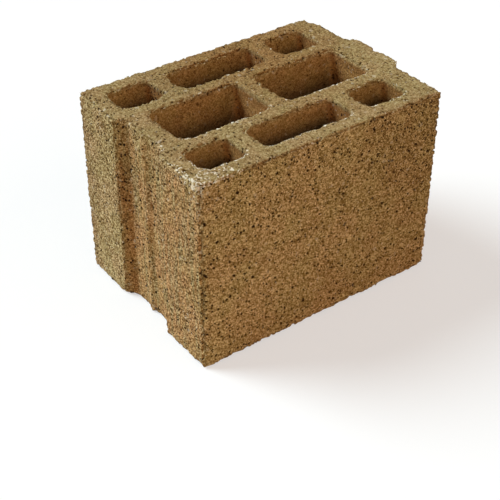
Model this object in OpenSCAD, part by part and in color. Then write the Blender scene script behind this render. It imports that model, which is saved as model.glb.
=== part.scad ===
// Hollow concrete block with eight upright cells in three rows, a groove down one
// end and a tongue down the other, so that blocks key together along a course.
// The origin is at the middle of the bed, +X points to the tongue, +Z is up.

/* [Block] */
// Length between the two end faces, without the tongue
block_l = 260; // [230:1:300]
// Depth from face to face, which is the thickness of the wall
block_w = 190; // [180:1:220]
// Height of one course of blocks
block_h = 190; // [90:1:240]
// Rounding of the four upright corners
corner_r = 3; // [1:0.5:6]
// Rounding of the arrises round the top and the bed
arris_r = 2; // [0.5:0.5:4]

/* [Shells and webs] */
// Thickness of the two face shells at the top
shell_t = 18.5; // [14:0.5:22]
// Thickness of the end shell beside the groove, in the two outer rows
end_t = 17.5; // [14:0.5:22]
// Thickness of the two long webs between the rows of cells
long_web_t = 18; // [14:0.5:22]
// Thickness of the cross webs in the two outer rows
cross_web_t = 18; // [14:0.5:22]
// Thickness of the cross web between the two middle cells
middle_web_t = 18; // [14:0.5:22]
// Wall between the floor of the groove and the middle row
groove_wall_t = 20; // [14:0.5:24]
// Thickness of the end shell behind the tongue, in all three rows
tongue_wall_t = 26; // [18:0.5:30]

/* [Cells] */
// Width across the wall of the cells in the two outer rows
outer_cell_w = 32; // [26:1:36]
// Length of the short cells at the ends of the outer rows
short_cell_l = 43.5; // [36:0.5:52]
// Corner radius of every cell at the top
cell_r = 7; // [4:0.5:10]
// How far each side of a cell draws in from the top down to the bed
core_draft = 1.2; // [0.4:0.1:2]

/* [Tongue and groove] */
// How far the tongue stands out of its end
tongue_h = 8; // [6:0.5:12]
// Width of the tongue at its root
tongue_root_w = 68; // [60:1:76]
// Width of the tongue at its tip
tongue_tip_w = 52; // [44:1:58]
// Width of the notch down the middle of the tongue, at its mouth
notch_w = 16; // [10:1:20]
// Depth of the notch
notch_d = 5.5; // [3:0.5:5.5]
// Height of the rib down the middle of the groove, which meets the notch
rib_h = 3; // [1:0.5:3]
// Play on each side between a tongue and the groove it enters
joint_play = 1; // [0.5:0.5:2]

/* [Hidden] */
$fn = 64;
// How far a cut runs past the face that it opens, and a root into its end
past = 2;
groove_d = tongue_h + joint_play;
groove_mouth_w = tongue_root_w + 2 * joint_play;
groove_floor_w = tongue_tip_w + 2 * joint_play;
rib_w = notch_w - 2 * joint_play;
// Centre lines of the two outer rows, and the width of the middle row between them
outer_row_y = block_w / 2 - shell_t - outer_cell_w / 2;
middle_cell_w = block_w - 2 * (shell_t + outer_cell_w + long_web_t);
// All three rows end at the shell behind the tongue
row_end = block_l / 2 - tongue_wall_t;
// Cells along an outer row: short, long, short
outer_row_start = -block_l / 2 + end_t;
short_cell_xs = [outer_row_start + short_cell_l / 2, row_end - short_cell_l / 2];
long_cell_l = row_end - outer_row_start - 2 * (short_cell_l + cross_web_t);
long_cell_x = (outer_row_start + row_end) / 2;
// Cells along the middle row: two of one length, from the wall behind the groove
middle_row_start = -block_l / 2 + groove_d + groove_wall_t;
middle_cell_l = (row_end - middle_row_start - middle_web_t) / 2;
middle_cell_xs = [middle_row_start + middle_cell_l / 2, row_end - middle_cell_l / 2];
// A core runs past the top and the bed, and its draft runs on with it
core_h = block_h + 2 * past;
overrun = past * core_draft / block_h;
concrete = [0.55, 0.45, 0.30];

// Flat rectangle with round corners, centred on the origin
module rounded_rectangle(l, w, r) {
  square([l - 2 * r, w], center = true);
  square([l, w - 2 * r], center = true);
  for (x = [-1, 1], y = [-1, 1])
    translate([x * (l / 2 - r), y * (w / 2 - r)]) circle(r);
}

// Bar along Y whose upright section is a rectangle with rounded arrises
module arris_bar(l, w) {
  translate([0, 0, block_h / 2])
    rotate([90, 0, 0])
      linear_extrude(w, center = true) rounded_rectangle(l, block_h, arris_r);
}

// The plain block: upright corners from its plan, arrises from its two side views
module plain_block() {
  intersection() {
    linear_extrude(block_h) rounded_rectangle(block_l, block_w, corner_r);
    arris_bar(block_l, block_w + 2 * past);
    rotate([0, 0, 90]) arris_bar(block_w, block_l + 2 * past);
  }
}

// The tongue in plan, rooted in the end face, with its notch cut from the tip
module tongue() {
  end_x = block_l / 2;
  tip_x = end_x + tongue_h;
  intersection() {
    linear_extrude(block_h) polygon([
      [end_x - past, -tongue_root_w / 2], [end_x, -tongue_root_w / 2],
      [tip_x, -tongue_tip_w / 2], [tip_x, -notch_w / 2],
      [tip_x - notch_d, 0],
      [tip_x, notch_w / 2], [tip_x, tongue_tip_w / 2],
      [end_x, tongue_root_w / 2], [end_x - past, tongue_root_w / 2]
    ]);
    arris_bar(2 * tip_x, tongue_root_w + 2 * past);
  }
}

// What the groove takes out of the other end: a wider, deeper tongue less the rib
module groove() {
  mouth_x = -block_l / 2;
  floor_x = mouth_x + groove_d;
  translate([0, 0, -past]) linear_extrude(block_h + 2 * past) polygon([
    [mouth_x - past, -groove_mouth_w / 2], [mouth_x, -groove_mouth_w / 2],
    [floor_x, -groove_floor_w / 2], [floor_x, -rib_w / 2],
    [floor_x - rib_h, 0],
    [floor_x, rib_w / 2], [floor_x, groove_floor_w / 2],
    [mouth_x, groove_mouth_w / 2], [mouth_x - past, groove_mouth_w / 2]
  ]);
}

// One mould core for a cell of this size at the top. Its round corners stand upright
// and its four flat sides are drafted, so that the core draws out of the block.
module core(l, w) {
  translate([0, 0, -past]) intersection() {
    linear_extrude(core_h) rounded_rectangle(l, w, cell_r);
    rotate([90, 0, 90]) drafted_bar(w / 2, l + 2 * past);
    rotate([90, 0, 0]) drafted_bar(l / 2, w + 2 * past);
  }
}

// Bar whose section is one core's taper: full width at the top of the block, and
// narrower by the draft at the bed
module drafted_bar(half, run) {
  foot = half - core_draft - overrun;
  head = half + overrun;
  linear_extrude(run, center = true)
    polygon([[-foot, 0], [foot, 0], [head, core_h], [-head, core_h]]);
}

// All eight cores where they stand in the mould
module cores() {
  for (y = [-outer_row_y, outer_row_y]) {
    for (x = short_cell_xs)
      translate([x, y, 0]) core(short_cell_l, outer_cell_w);
    translate([long_cell_x, y, 0]) core(long_cell_l, outer_cell_w);
  }
  for (x = middle_cell_xs)
    translate([x, 0, 0]) core(middle_cell_l, middle_cell_w);
}

module block() {
  color(concrete) difference() {
    union() {
      plain_block();
      tongue();
    }
    groove();
    cores();
  }
}

block();
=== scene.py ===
import math

import bmesh
import bpy
import numpy as np
from mathutils import Matrix, Vector, noise


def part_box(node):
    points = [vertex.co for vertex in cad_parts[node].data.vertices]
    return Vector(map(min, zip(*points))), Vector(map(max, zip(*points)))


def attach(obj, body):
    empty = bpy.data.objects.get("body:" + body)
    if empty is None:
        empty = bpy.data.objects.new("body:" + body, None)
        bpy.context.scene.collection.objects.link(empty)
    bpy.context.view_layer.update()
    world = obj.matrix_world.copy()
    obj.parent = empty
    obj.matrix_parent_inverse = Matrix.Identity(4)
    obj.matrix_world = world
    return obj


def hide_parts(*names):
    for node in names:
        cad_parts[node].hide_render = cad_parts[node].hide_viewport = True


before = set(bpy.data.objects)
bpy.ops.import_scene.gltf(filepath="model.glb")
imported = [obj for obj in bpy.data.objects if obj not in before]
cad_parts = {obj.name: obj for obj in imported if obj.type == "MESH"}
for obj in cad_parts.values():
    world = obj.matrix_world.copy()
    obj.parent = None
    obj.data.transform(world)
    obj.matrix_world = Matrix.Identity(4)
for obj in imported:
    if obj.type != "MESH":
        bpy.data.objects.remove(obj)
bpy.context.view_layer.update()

# The block: one piece of vibro-pressed concrete. A nearly dry mix of sand, fine gravel and
# cement is shaken and pressed in a steel mould round eight cores and pushed out at once,
# so its faces are open and gritty and its arrises crumble a little as it is handled.
MM = 0.001
concrete_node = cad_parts["block"]
block_low, block_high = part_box("block")
end_x = block_low.x
far_x = -end_x
face_y = block_low.y
back_y = block_high.y
top_z = block_high.z

pressed_block = bpy.data.objects.new("pressed_block", concrete_node.data.copy())
bpy.context.scene.collection.objects.link(pressed_block)
joined = bmesh.new()
joined.from_mesh(pressed_block.data)
bmesh.ops.remove_doubles(joined, verts=joined.verts, dist=0.01 * MM)
joined.to_mesh(pressed_block.data)
joined.free()

# Bits that were knocked off: rough pebbles, each with its centre and its radius, that are
# cut out of the corners and edges which show such damage.
PEBBLE_LUMP = 4 * MM
PEBBLE_ROUGHNESS = 0.3
knocks = [
    (end_x - 2 * MM, face_y - 2 * MM, top_z + 2 * MM, 7 * MM),
    (end_x - 2 * MM, face_y - 3 * MM, top_z - 17 * MM, 6 * MM),
    (end_x - 3 * MM, face_y - 3 * MM, top_z - 31 * MM, 7 * MM),
    (end_x - 3 * MM, face_y - 2 * MM, top_z - 52 * MM, 5.5 * MM),
    (far_x + 20 * MM, back_y + 2 * MM, top_z + 4 * MM, 29 * MM),
    (far_x + 3 * MM, face_y - 3 * MM, top_z - 9 * MM, 6 * MM),
    (end_x - 2 * MM, 36 * MM, -2 * MM, 6 * MM),
]
pebbles = bmesh.new()
for x, y, z, radius in knocks:
    pebble = bmesh.ops.create_icosphere(pebbles, subdivisions=3, radius=radius)
    for vert in pebble["verts"]:
        lump = noise.noise(vert.co / PEBBLE_LUMP + Vector((x, y, z)) / MM)
        vert.co = vert.co * (1 + PEBBLE_ROUGHNESS * lump) + Vector((x, y, z))
pebble_mesh = bpy.data.meshes.new("pebbles")
pebbles.to_mesh(pebble_mesh)
pebbles.free()
pebble_cutter = bpy.data.objects.new("pebbles", pebble_mesh)
bpy.context.scene.collection.objects.link(pebble_cutter)
bite = pressed_block.modifiers.new("bite", "BOOLEAN")
bite.operation = "DIFFERENCE"
bite.object = pebble_cutter
bite.use_self = True

# One even skin of small faces, fine enough to carry the grit.
skin = pressed_block.modifiers.new("skin", "REMESH")
skin.mode = "VOXEL"
skin.voxel_size = 1.25 * MM


def add_node(tree, kind, settings, links=None):
    """Adds a node. A setting is a property of the node or an input's fixed value, and a link
    feeds an input."""
    node = tree.nodes.new(kind)
    for name, value in settings.items():
        if isinstance(name, str) and hasattr(node, name):
            setattr(node, name, value)
        else:
            node.inputs[name].default_value = value
    for name, socket in (links or {}).items():
        tree.links.new(socket, node.inputs[name])
    return node


SWAY_SPACING = 1.6 * MM
SWAY = 2 * MM


def ragged(tree, place):
    """A place in the block moved a little to and fro, so that grains get uneven outlines."""
    sway = add_node(tree, "ShaderNodeTexNoise", {"Scale": 1 / SWAY_SPACING, "Detail": 2.0}, {
        "Vector": place,
    })
    return add_node(tree, "ShaderNodeVectorMath", {"operation": "MULTIPLY_ADD", 1: (SWAY, SWAY, SWAY)}, {
        0: sway.outputs["Color"], 2: place,
    }).outputs["Vector"]


GRAIN_SPACING = 4 * MM
VOID_SPACING = 13 * MM


def open_grain(tree, place):
    """The mix at a place in the block, the same for the mesh and the paint: crevices between
    grains, and the sockets that lost their grain with some larger voids."""
    grains = add_node(tree, "ShaderNodeTexVoronoi", {"Scale": 1 / GRAIN_SPACING}, {"Vector": place})
    chance = add_node(tree, "ShaderNodeSeparateXYZ", {}, {"Vector": grains.outputs["Color"]})
    crevice = add_node(tree, "ShaderNodeMapRange", {
        "interpolation_type": "SMOOTHSTEP", "From Min": 0.25, "From Max": 0.8,
    }, {"Value": grains.outputs["Distance"]})
    socket_size = add_node(tree, "ShaderNodeMapRange", {
        "From Min": 0.50, "From Max": 1.0, "To Min": 0.0, "To Max": 0.43,
    }, {"Value": chance.outputs["X"]})
    socket_inside = add_node(tree, "ShaderNodeMath", {"operation": "SUBTRACT"}, {
        0: socket_size.outputs["Result"], 1: grains.outputs["Distance"],
    })
    lost = add_node(tree, "ShaderNodeMapRange", {
        "interpolation_type": "SMOOTHSTEP", "From Max": 0.15,
    }, {"Value": socket_inside.outputs["Value"]})
    voids = add_node(tree, "ShaderNodeTexVoronoi", {"Scale": 1 / VOID_SPACING}, {"Vector": place})
    void_chance = add_node(tree, "ShaderNodeSeparateXYZ", {}, {"Vector": voids.outputs["Color"]})
    void_size = add_node(tree, "ShaderNodeMapRange", {
        "From Min": 0.5, "From Max": 1.0, "To Min": 0.0, "To Max": 0.15,
    }, {"Value": void_chance.outputs["X"]})
    void_inside = add_node(tree, "ShaderNodeMath", {"operation": "SUBTRACT"}, {
        0: void_size.outputs["Result"], 1: voids.outputs["Distance"],
    })
    void = add_node(tree, "ShaderNodeMapRange", {
        "interpolation_type": "SMOOTHSTEP", "From Max": 0.07,
    }, {"Value": void_inside.outputs["Value"]})
    hollow = add_node(tree, "ShaderNodeMath", {"operation": "MAXIMUM"}, {
        0: lost.outputs["Result"], 1: void.outputs["Result"],
    })
    return crevice.outputs["Result"], hollow.outputs["Value"]


OUTER_SHELL = 14 * MM


def in_cells(tree, place):
    """1 at a place in the core of the block, where the cells are, and 0 in its outer shells."""
    parts = add_node(tree, "ShaderNodeSeparateXYZ", {}, {"Vector": place})
    tests = []
    for axis, half in (("X", far_x - OUTER_SHELL), ("Y", back_y - OUTER_SHELL)):
        away = add_node(tree, "ShaderNodeMath", {"operation": "ABSOLUTE"}, {0: parts.outputs[axis]})
        tests.append(add_node(tree, "ShaderNodeMath", {"operation": "LESS_THAN", 1: half}, {
            0: away.outputs["Value"],
        }))
    return add_node(tree, "ShaderNodeMath", {"operation": "MULTIPLY"}, {
        0: tests[0].outputs["Value"], 1: tests[1].outputs["Value"],
    }).outputs["Value"]


relief = bpy.data.node_groups.new("gritty_relief", "GeometryNodeTree")
relief.interface.new_socket("Geometry", in_out="INPUT", socket_type="NodeSocketGeometry")
relief.interface.new_socket("Geometry", in_out="OUTPUT", socket_type="NodeSocketGeometry")
block_in = add_node(relief, "NodeGroupInput", {})
place = add_node(relief, "GeometryNodeInputPosition", {}).outputs["Position"]
normal = add_node(relief, "GeometryNodeInputNormal", {}).outputs["Normal"]
crevice, hollow = open_grain(relief, ragged(relief, place))

# Arrises: where the surface turns outwards, its smoothed copy lies inside it. Grit that broke
# away there takes the surface part of the way to that copy, further on the rims of the cells
# than outside, and single grains are missing. The far end's arris is worn most, on the back
# side of the tongue, and the tongue itself stays nearly sharp.
TONGUE_HALF = 34 * MM
WORN_PATCH = 9 * MM
CRUMB = 3.2 * MM
CRUMB_DEPTH = 4.2 * MM
smooth_place = add_node(relief, "GeometryNodeBlurAttribute", {
    "data_type": "FLOAT_VECTOR", "Iterations": 24,
}, {"Value": place})
pull = add_node(relief, "ShaderNodeVectorMath", {"operation": "SUBTRACT"}, {
    0: smooth_place.outputs["Value"], 1: place,
})
turn = add_node(relief, "ShaderNodeVectorMath", {"operation": "DOT_PRODUCT"}, {
    0: pull.outputs["Vector"], 1: normal,
})
worn = add_node(relief, "ShaderNodeMapRange", {
    "From Min": -0.25 * MM, "From Max": -1.2 * MM,
}, {"Value": turn.outputs["Value"]})
patches = add_node(relief, "ShaderNodeTexNoise", {"Scale": 1 / WORN_PATCH, "Detail": 3.0}, {
    "Vector": place,
})
loss = add_node(relief, "ShaderNodeMapRange", {
    "From Min": 0.35, "From Max": 0.65, "To Min": 0.2, "To Max": 1.0,
}, {"Value": patches.outputs["Fac"]})
rim_wear = add_node(relief, "ShaderNodeMapRange", {"To Min": 0.3, "To Max": 0.7}, {
    "Value": in_cells(relief, place),
})
place_parts = add_node(relief, "ShaderNodeSeparateXYZ", {}, {"Vector": place})
beside_tongue = add_node(relief, "ShaderNodeMapRange", {
    "From Min": TONGUE_HALF, "From Max": TONGUE_HALF + 4 * MM,
}, {"Value": place_parts.outputs["Y"]})
at_far_end = add_node(relief, "ShaderNodeMapRange", {
    "From Min": far_x - 6 * MM, "From Max": far_x - 3 * MM, "To Max": 1.6,
}, {"Value": place_parts.outputs["X"]})
far_wear = add_node(relief, "ShaderNodeMath", {"operation": "MULTIPLY"}, {
    0: at_far_end.outputs["Result"], 1: beside_tongue.outputs["Result"],
})
most_wear = add_node(relief, "ShaderNodeMath", {"operation": "MAXIMUM"}, {
    0: rim_wear.outputs["Result"], 1: far_wear.outputs["Value"],
})
off_tongue = add_node(relief, "ShaderNodeMapRange", {
    "From Min": far_x + 3 * MM, "From Max": far_x, "To Min": 0.1,
}, {"Value": place_parts.outputs["X"]})
wears = add_node(relief, "ShaderNodeMath", {"operation": "MULTIPLY"}, {
    0: worn.outputs["Result"], 1: off_tongue.outputs["Result"],
})
soft_part = add_node(relief, "ShaderNodeMath", {"operation": "MULTIPLY"}, {
    0: wears.outputs["Value"], 1: most_wear.outputs["Value"],
})
crumble = add_node(relief, "ShaderNodeMath", {"operation": "MULTIPLY"}, {
    0: soft_part.outputs["Value"], 1: loss.outputs["Result"],
})
crumbled = add_node(relief, "ShaderNodeVectorMath", {"operation": "SCALE"}, {
    0: pull.outputs["Vector"], "Scale": crumble.outputs["Value"],
})
crumbs = add_node(relief, "ShaderNodeTexVoronoi", {"Scale": 1 / CRUMB}, {"Vector": place})
crumb_chance = add_node(relief, "ShaderNodeSeparateXYZ", {}, {"Vector": crumbs.outputs["Color"]})
missing = add_node(relief, "ShaderNodeMapRange", {
    "From Min": 0.35, "From Max": 1.0, "To Min": 0.0, "To Max": CRUMB_DEPTH,
}, {"Value": crumb_chance.outputs["X"]})
gap_depth = add_node(relief, "ShaderNodeMath", {"operation": "MULTIPLY"}, {
    0: missing.outputs["Result"], 1: wears.outputs["Value"],
})

# Faces: grains stand up to the mould's face, and crevices, sockets and voids lie below it.
SWELL = 7 * MM
SWELL_DEPTH = 0.5 * MM
CREVICE_DEPTH = 0.6 * MM
HOLLOW_DEPTH = 2 * MM
swell = add_node(relief, "ShaderNodeTexNoise", {"Scale": 1 / SWELL, "Detail": 3.0}, {
    "Vector": place,
})
swell_depth = add_node(relief, "ShaderNodeMapRange", {
    "From Min": 0.3, "From Max": 0.7, "To Min": 0.0, "To Max": SWELL_DEPTH,
}, {"Value": swell.outputs["Fac"]})
depth = swell_depth.outputs["Result"]
for pattern, deepest in (
    (crevice, CREVICE_DEPTH),
    (hollow, HOLLOW_DEPTH),
    (gap_depth.outputs["Value"], 1.0),
):
    depth = add_node(relief, "ShaderNodeMath", {"operation": "MULTIPLY_ADD", 1: deepest}, {
        0: pattern, 2: depth,
    }).outputs["Value"]

# Cells: the cores leave their walls rough to both sides, so there the relief also stands out.
WALL_RELIEF = 0.45 * MM
normal_parts = add_node(relief, "ShaderNodeSeparateXYZ", {}, {"Vector": normal})
level = add_node(relief, "ShaderNodeMath", {"operation": "ABSOLUTE"}, {0: normal_parts.outputs["Z"]})
rough_wall = add_node(relief, "ShaderNodeMapRange", {
    "To Min": WALL_RELIEF, "To Max": 0.0,
}, {"Value": level.outputs["Value"]})
stand_out = add_node(relief, "ShaderNodeMath", {"operation": "MULTIPLY"}, {
    0: rough_wall.outputs["Result"], 1: in_cells(relief, place),
})
height = add_node(relief, "ShaderNodeMath", {"operation": "SUBTRACT"}, {
    0: stand_out.outputs["Value"], 1: depth,
})
sunk = add_node(relief, "ShaderNodeVectorMath", {"operation": "SCALE"}, {
    0: normal, "Scale": height.outputs["Value"],
})
moved = add_node(relief, "ShaderNodeVectorMath", {"operation": "ADD"}, {
    0: crumbled.outputs["Vector"], 1: sunk.outputs["Vector"],
})
keep_place = add_node(relief, "GeometryNodeStoreNamedAttribute", {
    "data_type": "FLOAT_VECTOR", "domain": "POINT", "Name": "cast_place",
}, {"Geometry": block_in.outputs["Geometry"], "Value": place})
keep_worn = add_node(relief, "GeometryNodeStoreNamedAttribute", {
    "data_type": "FLOAT", "domain": "POINT", "Name": "worn_arris",
}, {"Geometry": keep_place.outputs["Geometry"], "Value": worn.outputs["Result"]})
gritty = add_node(relief, "GeometryNodeSetPosition", {}, {
    "Geometry": keep_worn.outputs["Geometry"], "Offset": moved.outputs["Vector"],
})
add_node(relief, "NodeGroupOutput", {}, {"Geometry": gritty.outputs["Geometry"]})
grit = pressed_block.modifiers.new("grit", "NODES")
grit.node_group = relief


def apply_modifiers(piece):
    """Turns what the piece's modifiers make into its own mesh."""
    bpy.context.view_layer.update()
    evaluated = bpy.context.evaluated_depsgraph_get()
    shape = piece.evaluated_get(evaluated)
    made = bpy.data.meshes.new_from_object(shape, preserve_all_data_layers=True, depsgraph=evaluated)
    piece.modifiers.clear()
    piece.data = made


apply_modifiers(pressed_block)
bpy.data.objects.remove(pebble_cutter)

# The arrises keep all their small faces. Faces in view keep most of theirs, the back, the far
# end and the walls of the cells fewer, and the bed and the deep walls the fewest.
TRIANGLES = 195000
mesh = pressed_block.data
spots = np.empty(len(mesh.vertices) * 3, np.float32)
mesh.attributes["cast_place"].data.foreach_get("vector", spots)
spots = spots.reshape(-1, 3)
wear = np.empty(len(mesh.vertices), np.float32)
mesh.attributes["worn_arris"].data.foreach_get("value", wear)
spot_x, spot_y, spot_z = spots.T
within = (np.abs(spot_x) < far_x - OUTER_SHELL) & (np.abs(spot_y) < back_y - OUTER_SHELL)
deep = within & (spot_z < top_z - 50 * MM) | (spot_z < 0.5 * MM)
away = within & (spot_z < top_z - 4 * MM) | (spot_x > far_x - 2 * MM) | (spot_y > back_y - 2 * MM)
whole = wear < 0.2
plain = pressed_block.vertex_groups.new(name="plain")
plain.add(np.flatnonzero(whole).tolist(), 0.4, "REPLACE")
plain.add(np.flatnonzero(whole & away).tolist(), 0.7, "REPLACE")
plain.add(np.flatnonzero(deep).tolist(), 1.0, "REPLACE")
thin = pressed_block.modifiers.new("thin", "DECIMATE")
thin.vertex_group = "plain"
mesh.calc_loop_triangles()
thin.ratio = TRIANGLES / len(mesh.loop_triangles)
thin.use_collapse_triangulate = True
apply_modifiers(pressed_block)
mesh = pressed_block.data
spots = np.empty(len(mesh.vertices) * 3, np.float32)
mesh.vertices.foreach_get("co", spots)
spots = np.clip(spots.reshape(-1, 3), list(block_low), list(block_high))
mesh.vertices.foreach_set("co", spots.ravel())
mesh.shade_smooth()


def linear(hex_colour):
    """A colour written as sRGB hex, as the linear values that a shader takes."""
    parts = [int(hex_colour[i:i + 2], 16) / 255 for i in (1, 3, 5)]
    return tuple(p / 12.92 if p <= 0.04045 else ((p + 0.055) / 1.055) ** 2.4 for p in parts) + (1.0,)


# Vibro-pressed concrete: each grain keeps its own tone of sand or gravel under a thin coat of
# brown cement, the gaps and pits between grains are painted dark as painted shade, and whitish
# specks show along the arrises.
concrete = bpy.data.materials.new("vibro_pressed_concrete")
concrete.use_nodes = True
tree = concrete.node_tree
tree.nodes.clear()
place = add_node(tree, "ShaderNodeAttribute", {"attribute_name": "cast_place"}).outputs["Vector"]
worn = add_node(tree, "ShaderNodeAttribute", {"attribute_name": "worn_arris"}).outputs["Fac"]
grain_place = ragged(tree, place)
crevice, hollow = open_grain(tree, grain_place)

# Grains of fine and coarse sand, each with a tone of its own, dark gaps between the fine ones
# and small round pits, both painted dark as painted shade, cement powder, and wide clouds of
# tone. Much of the real sand is finer than a millimetre, which the render can't show, so the fine
# grains are drawn 1.3 mm wide.
FINE_SAND = 1.3 * MM
COARSE_SAND = 2.8 * MM
PIT_SPACING = 3 * MM
POWDER = 0.5 * MM
MOTTLE = 14 * MM
CLOUD = 45 * MM
fine_sand = add_node(tree, "ShaderNodeTexVoronoi", {"Scale": 1 / FINE_SAND}, {"Vector": grain_place})
fine_tone = add_node(tree, "ShaderNodeSeparateXYZ", {}, {"Vector": fine_sand.outputs["Color"]})
fine_gap = add_node(tree, "ShaderNodeMapRange", {
    "interpolation_type": "SMOOTHSTEP", "From Min": 0.3, "From Max": 0.8,
}, {"Value": fine_sand.outputs["Distance"]})
coarse_sand = add_node(tree, "ShaderNodeTexVoronoi", {"Scale": 1 / COARSE_SAND}, {"Vector": grain_place})
coarse_tone = add_node(tree, "ShaderNodeSeparateXYZ", {}, {"Vector": coarse_sand.outputs["Color"]})
pits = add_node(tree, "ShaderNodeTexVoronoi", {"Scale": 1 / PIT_SPACING}, {"Vector": place})
pit_chance = add_node(tree, "ShaderNodeSeparateXYZ", {}, {"Vector": pits.outputs["Color"]})
pit_size = add_node(tree, "ShaderNodeMapRange", {
    "From Min": 0.40, "From Max": 1.0, "To Min": 0.0, "To Max": 0.42,
}, {"Value": pit_chance.outputs["X"]})
pit_inside = add_node(tree, "ShaderNodeMath", {"operation": "SUBTRACT"}, {
    0: pit_size.outputs["Result"], 1: pits.outputs["Distance"],
})
pit = add_node(tree, "ShaderNodeMapRange", {"From Max": 0.1}, {"Value": pit_inside.outputs["Value"]})
powder = add_node(tree, "ShaderNodeTexNoise", {"Scale": 1 / POWDER, "Detail": 2.0}, {"Vector": place})
mottle = add_node(tree, "ShaderNodeTexNoise", {"Scale": 1 / MOTTLE, "Detail": 3.0}, {"Vector": place})
cloud = add_node(tree, "ShaderNodeTexNoise", {"Scale": 1 / CLOUD, "Detail": 2.0}, {"Vector": place})

# The tone is a little darker towards the tongue, and a little darker towards the top, which is
# painted shade. Two patches at the back of the top and one high on the front are darker, each
# with its middle, reach and strength, and dust pales the top towards the front and the tongue.
place_parts = add_node(tree, "ShaderNodeSeparateXYZ", {}, {"Vector": place})
toward_tongue = add_node(tree, "ShaderNodeMapRange", {
    "From Min": end_x, "From Max": far_x,
}, {"Value": place_parts.outputs["X"]})
# Painted shade: this share of the height darkens the tone towards the top. It also makes the end's
# streaks fewer higher up.
shade_and_streak_height = add_node(tree, "ShaderNodeMapRange", {
    "From Min": 0.0, "From Max": top_z,
}, {"Value": place_parts.outputs["Z"]})
dark_patches = None
for spot, reach, strength in (
    ((10 * MM, back_y, top_z), 75 * MM, 1.2),
    ((-58 * MM, 66 * MM, top_z), 40 * MM, 1.3),
    ((far_x - 15 * MM, face_y, top_z - 45 * MM), 95 * MM, 1.0),
):
    spot_way = add_node(tree, "ShaderNodeVectorMath", {"operation": "DISTANCE", 1: spot}, {0: place})
    patch = add_node(tree, "ShaderNodeMapRange", {
        "From Min": reach, "From Max": 0.35 * reach, "To Max": strength,
    }, {"Value": spot_way.outputs["Value"]})
    if dark_patches:
        dark_patches = add_node(tree, "ShaderNodeMath", {"operation": "MAXIMUM"}, {
            0: dark_patches, 1: patch.outputs["Result"],
        }).outputs["Value"]
    else:
        dark_patches = patch.outputs["Result"]
on_top = add_node(tree, "ShaderNodeMapRange", {
    "From Min": top_z - 3 * MM, "From Max": top_z - 1 * MM,
}, {"Value": place_parts.outputs["Z"]})
to_front = add_node(tree, "ShaderNodeMapRange", {
    "From Min": 45 * MM, "From Max": -10 * MM,
}, {"Value": place_parts.outputs["Y"]})
dust_place = add_node(tree, "ShaderNodeMath", {"operation": "MULTIPLY"}, {
    0: to_front.outputs["Result"], 1: toward_tongue.outputs["Result"],
})
dusty = add_node(tree, "ShaderNodeMath", {"operation": "MULTIPLY"}, {
    0: on_top.outputs["Result"], 1: dust_place.outputs["Value"],
})

# The top was struck off and the cores pressed the walls of the cells, so both are calmer than
# the outside and have fewer open pits. The cores scraped each cell's wall on the tongue's side,
# which keeps its pits. Two of the round corners of each cell are painted paler: painted light.
below_rim = add_node(tree, "ShaderNodeMapRange", {
    "From Min": top_z - 2 * MM, "From Max": top_z - 6 * MM,
}, {"Value": place_parts.outputs["Z"]})
in_core = in_cells(tree, place)
cell_wall = add_node(tree, "ShaderNodeMath", {"operation": "MULTIPLY"}, {
    0: below_rim.outputs["Result"], 1: in_core,
})
facing = add_node(tree, "ShaderNodeNewGeometry", {}).outputs["Normal"]
facing_parts = add_node(tree, "ShaderNodeSeparateXYZ", {}, {"Vector": facing})
both_ways = add_node(tree, "ShaderNodeMath", {"operation": "MULTIPLY", "use_clamp": True}, {
    0: facing_parts.outputs["X"], 1: facing_parts.outputs["Y"],
})
# Painted light: two of the round corners of each cell are drawn paler.
corner_painted_light = add_node(tree, "ShaderNodeMath", {"operation": "MULTIPLY"}, {
    0: both_ways.outputs["Value"], 1: cell_wall.outputs["Value"],
})
calm = add_node(tree, "ShaderNodeMath", {"operation": "MAXIMUM"}, {
    0: on_top.outputs["Result"], 1: in_core,
})
struck_off = add_node(tree, "ShaderNodeMath", {"operation": "MULTIPLY_ADD", 1: -0.3, 2: 1.0}, {
    0: on_top.outputs["Result"],
})
pressed_in = add_node(tree, "ShaderNodeMath", {"operation": "MULTIPLY_ADD", 1: -0.65}, {
    0: cell_wall.outputs["Value"], 2: struck_off.outputs["Value"],
})
scraped = add_node(tree, "ShaderNodeMapRange", {
    "From Min": -0.3, "From Max": -0.8,
}, {"Value": facing_parts.outputs["X"]})
scraped_share = add_node(tree, "ShaderNodeMath", {"operation": "MULTIPLY"}, {
    0: scraped.outputs["Result"], 1: cell_wall.outputs["Value"],
})
filled = add_node(tree, "ShaderNodeMath", {"operation": "MULTIPLY_ADD", 1: 0.6}, {
    0: scraped_share.outputs["Value"], 2: pressed_in.outputs["Value"],
})
open_hollow = add_node(tree, "ShaderNodeMath", {"operation": "MULTIPLY"}, {
    0: hollow, 1: filled.outputs["Value"],
})
open_pit = add_node(tree, "ShaderNodeMath", {"operation": "MULTIPLY"}, {
    0: pit.outputs["Result"], 1: filled.outputs["Value"],
})

# The groove's end has upright streaks, where the mould dragged along the wet mix.
END_DEPTH = 12 * MM
STREAK = 4 * MM
STREAK_STRETCH = 0.08
drag_place = add_node(tree, "ShaderNodeVectorMath", {
    "operation": "MULTIPLY", 1: (1.0, 1.0, STREAK_STRETCH),
}, {0: place})
drag = add_node(tree, "ShaderNodeTexNoise", {"Scale": 1 / STREAK, "Detail": 2.0}, {
    "Vector": drag_place.outputs["Vector"],
})
on_end = add_node(tree, "ShaderNodeMath", {"operation": "LESS_THAN", 1: end_x + END_DEPTH}, {
    0: place_parts.outputs["X"],
})
drag_marks = add_node(tree, "ShaderNodeMath", {"operation": "MULTIPLY"}, {
    0: drag.outputs["Fac"], 1: on_end.outputs["Value"],
})
lifted = add_node(tree, "ShaderNodeMath", {"operation": "MULTIPLY_ADD", 1: -0.5}, {
    0: on_end.outputs["Value"], 2: drag_marks.outputs["Value"],
})
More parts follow.
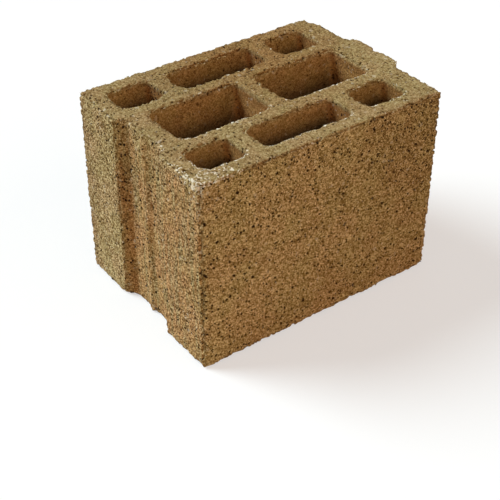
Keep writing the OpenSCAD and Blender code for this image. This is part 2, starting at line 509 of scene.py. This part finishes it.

# Each pattern and how far it moves the tone from where it starts, on a scale where 0 is the
# darkest pit and 1 the palest grain. The dark gaps, crevices, pits and hollows are painted shade.
# Calm places are drawn part of the way to one tone.
START_TONE = 0.31
CALM_TONE = 0.54
CALM_SHARE = 0.40
tone = None
for pattern, weight in (
    (fine_tone.outputs["X"], 0.52),
    (fine_gap.outputs["Result"], -0.34),
    (coarse_tone.outputs["X"], 0.06),
    (powder.outputs["Fac"], 0.20),
    (mottle.outputs["Fac"], 0.06),
    (cloud.outputs["Fac"], 0.12),
    (open_pit.outputs["Value"], -1.0),
    (crevice, -0.03),
    (open_hollow.outputs["Value"], -0.90),
    (toward_tongue.outputs["Result"], -0.05),
    (shade_and_streak_height.outputs["Result"], -0.07),
    (dark_patches, -0.08),
    (dusty.outputs["Value"], 0.12),
    (cell_wall.outputs["Value"], 0.15),
    (corner_painted_light.outputs["Value"], 0.9),
    (lifted.outputs["Value"], 0.35),
):
    layer = add_node(tree, "ShaderNodeMath", {
        "operation": "MULTIPLY_ADD", 1: weight, 2: START_TONE,
    }, {0: pattern})
    if tone:
        tree.links.new(tone, layer.inputs[2])
    tone = layer.outputs["Value"]
calm_share = add_node(tree, "ShaderNodeMath", {"operation": "MULTIPLY", 1: CALM_SHARE}, {
    0: calm.outputs["Value"],
})
calmed = add_node(tree, "ShaderNodeMix", {"data_type": "FLOAT", "B": CALM_TONE}, {
    "Factor": calm_share.outputs["Value"], "A": tone,
})
tones = add_node(tree, "ShaderNodeValToRGB", {}, {"Fac": calmed.outputs["Result"]})
stops = [(0.0, "#2E1A06"), (0.25, "#6A4B20"), (0.5, "#98794C"), (0.75, "#C0A174"), (1.0, "#E8C99C")]
while len(tones.color_ramp.elements) < len(stops):
    tones.color_ramp.elements.new(0.5)
for element, (position, stop_colour) in zip(tones.color_ramp.elements, stops):
    element.position = position
    element.color = linear(stop_colour)

# Wide patches lean a little to green or to red.
TINT_PATCH = 28 * MM
tint_patch = add_node(tree, "ShaderNodeTexNoise", {"Scale": 1 / TINT_PATCH, "Detail": 2.0}, {
    "Vector": place,
})
tint_share = add_node(tree, "ShaderNodeMapRange", {
    "From Min": 0.4, "From Max": 0.6,
}, {"Value": tint_patch.outputs["Fac"]})
tint = add_node(tree, "ShaderNodeMix", {
    "data_type": "RGBA", 6: linear("#FCFFF8"), 7: linear("#FFFAF8"),
}, {0: tint_share.outputs["Result"]})
tinted = add_node(tree, "ShaderNodeMix", {"data_type": "RGBA", "blend_type": "MULTIPLY", 0: 1.0}, {
    6: tones.outputs["Color"], 7: tint.outputs[2],
})

# The walls of the cells are painted browner, and darker and greyer the deeper they lie, sooner in
# the narrow outer rows: all painted shade. The scraped walls get more painted shade, brownest just
# under their rims.
from_middle = add_node(tree, "ShaderNodeMath", {"operation": "ABSOLUTE"}, {0: place_parts.outputs["Y"]})
narrow_row = add_node(tree, "ShaderNodeMapRange", {
    "From Min": 30 * MM, "From Max": 40 * MM, "To Min": 1.0, "To Max": 1.6,
}, {"Value": from_middle.outputs["Value"]})
below_top = add_node(tree, "ShaderNodeMath", {"operation": "SUBTRACT", 0: top_z}, {
    1: place_parts.outputs["Z"],
})
unlit = add_node(tree, "ShaderNodeMath", {"operation": "MULTIPLY"}, {
    0: below_top.outputs["Value"], 1: narrow_row.outputs["Result"],
})
shade_depth = add_node(tree, "ShaderNodeMapRange", {
    "interpolation_type": "SMOOTHSTEP", "From Min": 20 * MM, "From Max": 46 * MM,
}, {"Value": unlit.outputs["Value"]})
# Painted shade: browner near the rims of the cells, darker and greyer deeper down.
wall_painted_shade = add_node(tree, "ShaderNodeMix", {
    "data_type": "RGBA", 6: linear("#FFF2E0"), 7: linear("#86828C"),
}, {0: shade_depth.outputs["Result"]})
walls = add_node(tree, "ShaderNodeMix", {"data_type": "RGBA", "blend_type": "MULTIPLY"}, {
    0: cell_wall.outputs["Value"], 6: tinted.outputs[2], 7: wall_painted_shade.outputs[2],
})
under_rim = add_node(tree, "ShaderNodeMapRange", {
    "From Min": top_z - 4 * MM, "From Max": top_z - 16 * MM,
}, {"Value": place_parts.outputs["Z"]})
# Painted shade: the scraped walls are brownest just under their rims.
rim_shade_tint = add_node(tree, "ShaderNodeMix", {
    "data_type": "RGBA", 6: linear("#D0B296"), 7: linear("#FAE0C8"),
}, {0: under_rim.outputs["Result"]})
rim_shaded_walls = add_node(tree, "ShaderNodeMix", {"data_type": "RGBA", "blend_type": "MULTIPLY"}, {
    0: scraped_share.outputs["Value"], 6: walls.outputs[2], 7: rim_shade_tint.outputs[2],
})

# The groove's end has brown streaks from its front across the groove, partly painted warm light.
# The flank of the groove that faces the front gets painted shade low down, and the end gets
# painted shade towards its back arris.
browner = add_node(tree, "ShaderNodeMapRange", {
    "From Min": 38 * MM, "From Max": 28 * MM,
}, {"Value": place_parts.outputs["Y"]})
off_front = add_node(tree, "ShaderNodeMapRange", {
    "From Min": face_y + 0.5 * MM, "From Max": face_y + 4 * MM,
}, {"Value": place_parts.outputs["Y"]})
end_patch = add_node(tree, "ShaderNodeMath", {"operation": "MULTIPLY"}, {
    0: on_end.outputs["Value"], 1: off_front.outputs["Result"],
})
end_place = add_node(tree, "ShaderNodeMath", {"operation": "MULTIPLY"}, {
    0: end_patch.outputs["Value"], 1: browner.outputs["Result"],
})
streak_level = add_node(tree, "ShaderNodeMath", {"operation": "MULTIPLY_ADD", 1: -0.1}, {
    0: shade_and_streak_height.outputs["Result"], 2: drag.outputs["Fac"],
})
streaks = add_node(tree, "ShaderNodeMapRange", {
    "From Min": 0.33, "From Max": 0.49,
}, {"Value": streak_level.outputs["Value"]})
below_arris = add_node(tree, "ShaderNodeMapRange", {
    "From Min": top_z - 3 * MM, "From Max": top_z - 12 * MM,
}, {"Value": place_parts.outputs["Z"]})
streak_place = add_node(tree, "ShaderNodeMath", {"operation": "MULTIPLY"}, {
    0: streaks.outputs["Result"], 1: below_arris.outputs["Result"],
})
streaks_and_warm_light = add_node(tree, "ShaderNodeMath", {"operation": "MULTIPLY"}, {
    0: end_place.outputs["Value"], 1: streak_place.outputs["Value"],
})
in_shade = add_node(tree, "ShaderNodeMapRange", {
    "From Min": -0.3, "From Max": -0.6,
}, {"Value": facing_parts.outputs["Y"]})
flank_place = add_node(tree, "ShaderNodeMath", {"operation": "MULTIPLY"}, {
    0: in_shade.outputs["Result"], 1: end_patch.outputs["Value"],
})
far_below = add_node(tree, "ShaderNodeMapRange", {
    "From Min": top_z - 15 * MM, "From Max": top_z - 60 * MM,
}, {"Value": place_parts.outputs["Z"]})
flank_painted_shade = add_node(tree, "ShaderNodeMath", {"operation": "MULTIPLY"}, {
    0: flank_place.outputs["Value"], 1: far_below.outputs["Result"],
})
end_arris = add_node(tree, "ShaderNodeMapRange", {
    "From Min": back_y - 22 * MM, "From Max": back_y - 2 * MM,
}, {"Value": place_parts.outputs["Y"]})
back_arris_place = add_node(tree, "ShaderNodeMath", {"operation": "MULTIPLY"}, {
    0: end_arris.outputs["Result"], 1: end_patch.outputs["Value"],
})
back_arris_shade = add_node(tree, "ShaderNodeMath", {"operation": "MULTIPLY"}, {
    0: back_arris_place.outputs["Value"], 1: below_arris.outputs["Result"],
})
weathered = rim_shaded_walls.outputs[2]
# Tints: streaks that are partly painted warm light, and painted shade on the flank and at the back
# arris.
for share, tint_colour in ((streaks_and_warm_light, "#FFE9DA"), (flank_painted_shade, "#F2EADF"), (back_arris_shade, "#EEE4E6")):
    weathered = add_node(tree, "ShaderNodeMix", {
        "data_type": "RGBA", "blend_type": "MULTIPLY", 7: linear(tint_colour),
    }, {0: share.outputs["Value"], 6: weathered}).outputs[2]

# The top is browner at the back and a little darker round the web between the middle cells.
# Each patch has its middle, its reach, the reach of its full tint, and the tint.
for spot, reach, full_reach, tint_colour in (
    ((40 * MM, back_y, top_z), 110 * MM, 45 * MM, "#FFF0E2"),
    ((35 * MM, 0, top_z), 105 * MM, 30 * MM, "#F2ECE0"),
):
    spot_way = add_node(tree, "ShaderNodeVectorMath", {"operation": "DISTANCE", 1: spot}, {0: place})
    patch = add_node(tree, "ShaderNodeMapRange", {"From Min": reach, "From Max": full_reach}, {
        "Value": spot_way.outputs["Value"],
    })
    share = add_node(tree, "ShaderNodeMath", {"operation": "MULTIPLY"}, {
        0: patch.outputs["Result"], 1: on_top.outputs["Result"],
    })
    weathered = add_node(tree, "ShaderNodeMix", {
        "data_type": "RGBA", "blend_type": "MULTIPLY", 7: linear(tint_colour),
    }, {0: share.outputs["Value"], 6: weathered}).outputs[2]

# Whitish specks along the arrises, most of all round the knocked corner and on the near rims of
# the front and middle rows of cells.
FACE_SHELL = 18.5 * MM
OUTER_CELL = 32 * MM
LONG_WEB = 18 * MM
front_rim_y = face_y + FACE_SHELL
middle_rim_y = front_rim_y + OUTER_CELL + LONG_WEB
corner_way = add_node(tree, "ShaderNodeVectorMath", {
    "operation": "DISTANCE", 1: (end_x + 6 * MM, face_y + 6 * MM, top_z),
}, {0: place})
near_corner = add_node(tree, "ShaderNodeMapRange", {
    "From Min": 45 * MM, "From Max": 8 * MM,
}, {"Value": corner_way.outputs["Value"]})
at_rim = add_node(tree, "ShaderNodeMapRange", {
    "From Min": top_z - 9 * MM, "From Max": top_z - 5 * MM,
}, {"Value": place_parts.outputs["Z"]})
speck_spots = near_corner.outputs["Result"]
for rim_y, rim_share in ((front_rim_y, 1.4), (middle_rim_y, 1.0)):
    rim_way = add_node(tree, "ShaderNodeMath", {"operation": "SUBTRACT", 1: rim_y}, {
        0: place_parts.outputs["Y"],
    })
    rim_off = add_node(tree, "ShaderNodeMath", {"operation": "ABSOLUTE"}, {0: rim_way.outputs["Value"]})
    near_rim = add_node(tree, "ShaderNodeMapRange", {
        "From Min": 5 * MM, "From Max": 3 * MM, "To Max": rim_share,
    }, {"Value": rim_off.outputs["Value"]})
    rim_place = add_node(tree, "ShaderNodeMath", {"operation": "MULTIPLY"}, {
        0: near_rim.outputs["Result"], 1: at_rim.outputs["Result"],
    })
    speck_spots = add_node(tree, "ShaderNodeMath", {"operation": "MAXIMUM"}, {
        0: speck_spots, 1: rim_place.outputs["Value"],
    }).outputs["Value"]
upper_end = add_node(tree, "ShaderNodeMapRange", {
    "From Min": top_z - 16 * MM, "From Max": top_z - 6 * MM,
}, {"Value": place_parts.outputs["Z"]})
end_top = add_node(tree, "ShaderNodeMath", {"operation": "MULTIPLY"}, {
    0: upper_end.outputs["Result"], 1: end_patch.outputs["Value"],
})
speck_faces = add_node(tree, "ShaderNodeMath", {"operation": "MAXIMUM"}, {
    0: on_top.outputs["Result"], 1: end_top.outputs["Value"],
})
top_share = add_node(tree, "ShaderNodeMath", {"operation": "MULTIPLY", 1: 0.5}, {
    0: speck_faces.outputs["Value"],
})
edge_share = add_node(tree, "ShaderNodeMath", {"operation": "MULTIPLY"}, {
    0: top_share.outputs["Value"], 1: near_corner.outputs["Result"],
})
arris_share = add_node(tree, "ShaderNodeMath", {"operation": "MULTIPLY_ADD"}, {
    0: worn, 1: speck_spots, 2: edge_share.outputs["Value"],
})
speck_share = add_node(tree, "ShaderNodeMath", {
    "operation": "MULTIPLY_ADD", 1: 0.1, "use_clamp": True,
}, {0: worn, 2: arris_share.outputs["Value"]})
speck_chance = add_node(tree, "ShaderNodeMath", {"operation": "MAXIMUM"}, {
    0: fine_tone.outputs["Y"], 1: coarse_tone.outputs["Z"],
})
speck_level = add_node(tree, "ShaderNodeMath", {"operation": "MULTIPLY_ADD", 1: 0.25}, {
    0: speck_share.outputs["Value"], 2: speck_chance.outputs["Value"],
})
whitish_specks = add_node(tree, "ShaderNodeMapRange", {
    "From Min": 0.98, "From Max": 1.04,
}, {"Value": speck_level.outputs["Value"]})
colour = add_node(tree, "ShaderNodeMix", {"data_type": "RGBA", 7: linear("#F0DCC4")}, {
    0: whitish_specks.outputs["Result"], 6: weathered,
})

# Sand and pits that are too fine for the mesh catch the light as a bump. The concrete is matt.
SAND_RELIEF = 0.5 * MM
sand_height = None
for pattern, weight in (
    (fine_sand.outputs["Distance"], 0.6),
    (coarse_sand.outputs["Distance"], 0.6),
    (pit.outputs["Result"], 0.8),
    (powder.outputs["Fac"], -0.4),
):
    layer = add_node(tree, "ShaderNodeMath", {"operation": "MULTIPLY_ADD", 1: weight, 2: 0.0}, {
        0: pattern,
    })
    if sand_height:
        tree.links.new(sand_height, layer.inputs[2])
    sand_height = layer.outputs["Value"]
sand_bump = add_node(tree, "ShaderNodeBump", {"Strength": 1.0, "Distance": -SAND_RELIEF}, {
    "Height": sand_height,
})
surface = add_node(tree, "ShaderNodeBsdfPrincipled", {
    "Roughness": 0.92, "IOR": 1.5, "Specular IOR Level": 0.25,
}, {"Base Color": colour.outputs[2], "Normal": sand_bump.outputs["Normal"]})
add_node(tree, "ShaderNodeOutputMaterial", {}, {"Surface": surface.outputs["BSDF"]})

pressed_block.data.materials.clear()
pressed_block.data.materials.append(concrete)
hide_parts("block")
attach(pressed_block, "root")

# The floor: one wide, plain, pale sheet that the block stands on. The camera sees it half as
# plain white, so that it fades into the background and still keeps the block's shadow.
FLOOR_HALF = 20.0
floor_mesh = bpy.data.meshes.new("floor")
floor_mesh.from_pydata([
    (-FLOOR_HALF, -FLOOR_HALF, 0), (FLOOR_HALF, -FLOOR_HALF, 0),
    (FLOOR_HALF, FLOOR_HALF, 0), (-FLOOR_HALF, FLOOR_HALF, 0),
], [], [(0, 1, 2, 3)])
floor = bpy.data.objects.new("floor", floor_mesh)
floor.location.z = -0.1 * MM
bpy.context.scene.collection.objects.link(floor)
sheet = bpy.data.materials.new("pale_matt_sheet")
sheet.use_nodes = True
tree = sheet.node_tree
tree.nodes.clear()
seen = add_node(tree, "ShaderNodeLightPath", {}).outputs["Is Camera Ray"]
sheet_colour = add_node(tree, "ShaderNodeMix", {
    "data_type": "RGBA", 6: linear("#E0D1BA"), 7: linear("#FFF6F4"),
}, {0: seen})
sheet_matt = add_node(tree, "ShaderNodeBsdfDiffuse", {}, {"Color": sheet_colour.outputs[2]})
white = add_node(tree, "ShaderNodeEmission", {"Strength": 1.08})
white_share = add_node(tree, "ShaderNodeMath", {"operation": "MULTIPLY", 1: 0.5}, {0: seen})
sheet_seen = add_node(tree, "ShaderNodeMixShader", {}, {
    0: white_share.outputs["Value"], 1: sheet_matt.outputs["BSDF"], 2: white.outputs["Emission"],
})
add_node(tree, "ShaderNodeOutputMaterial", {}, {"Surface": sheet_seen.outputs["Shader"]})
floor_mesh.materials.append(sheet)

# The light: a broad cool key from behind and to the left, which lights the top and the groove
# end, and a broad, weaker, warm fill on the front face. Both lamps are far away and even. Each
# has its name, the direction it stands in, its colour, its strength and its width in degrees.
lamps = [
    ("key", (-0.48, 0.58, 0.70), "#D4EDF6", 4.1, 32),
    ("fill", (0.30, -0.90, 0.30), "#FFDEB6", 1.10, 70),
]
for lamp_name, towards, lamp_colour, strength, width in lamps:
    lamp = bpy.data.lights.new(lamp_name, "SUN")
    lamp.color = linear(lamp_colour)[:3]
    lamp.energy = strength
    lamp.angle = math.radians(width)
    lamp_object = bpy.data.objects.new(lamp_name, lamp)
    lamp_object.rotation_euler = Vector(towards).to_track_quat("Z", "Y").to_euler()
    bpy.context.scene.collection.objects.link(lamp_object)
room = bpy.data.worlds.new("studio")
room.use_nodes = True
tree = room.node_tree
tree.nodes.clear()
seen = add_node(tree, "ShaderNodeLightPath", {}).outputs["Is Camera Ray"]
room_colour = add_node(tree, "ShaderNodeMix", {
    "data_type": "RGBA", 6: tuple(0.25 * c for c in linear("#FFEBD6")), 7: linear("#FFFFFF"),
}, {0: seen})
room_light = add_node(tree, "ShaderNodeBackground", {"Strength": 1.0}, {
    "Color": room_colour.outputs[2],
})
add_node(tree, "ShaderNodeOutputWorld", {}, {"Surface": room_light.outputs["Background"]})
bpy.context.scene.world = room
bpy.context.scene.view_settings.view_transform = "Standard"

# The camera: at the photograph's height, angle and distance, with its slight roll.
camera = bpy.data.objects.new("camera", bpy.data.cameras.new("camera"))
camera.data.lens = 81.44
camera.data.sensor_width = 36.0
camera_stand = Vector((-0.5309, -0.7021, 0.6678))
looks_at = Vector((-0.0701, -0.0801, 0.0950))
ROLL_DEG = 0.20
aim = (looks_at - camera_stand).to_track_quat("-Z", "Y").to_matrix().to_4x4()
roll = Matrix.Rotation(math.radians(ROLL_DEG), 4, "Z")
camera.matrix_world = Matrix.Translation(camera_stand) @ aim @ roll
bpy.context.scene.collection.objects.link(camera)
bpy.context.scene.camera = camera

bpy.context.view_layer.update()
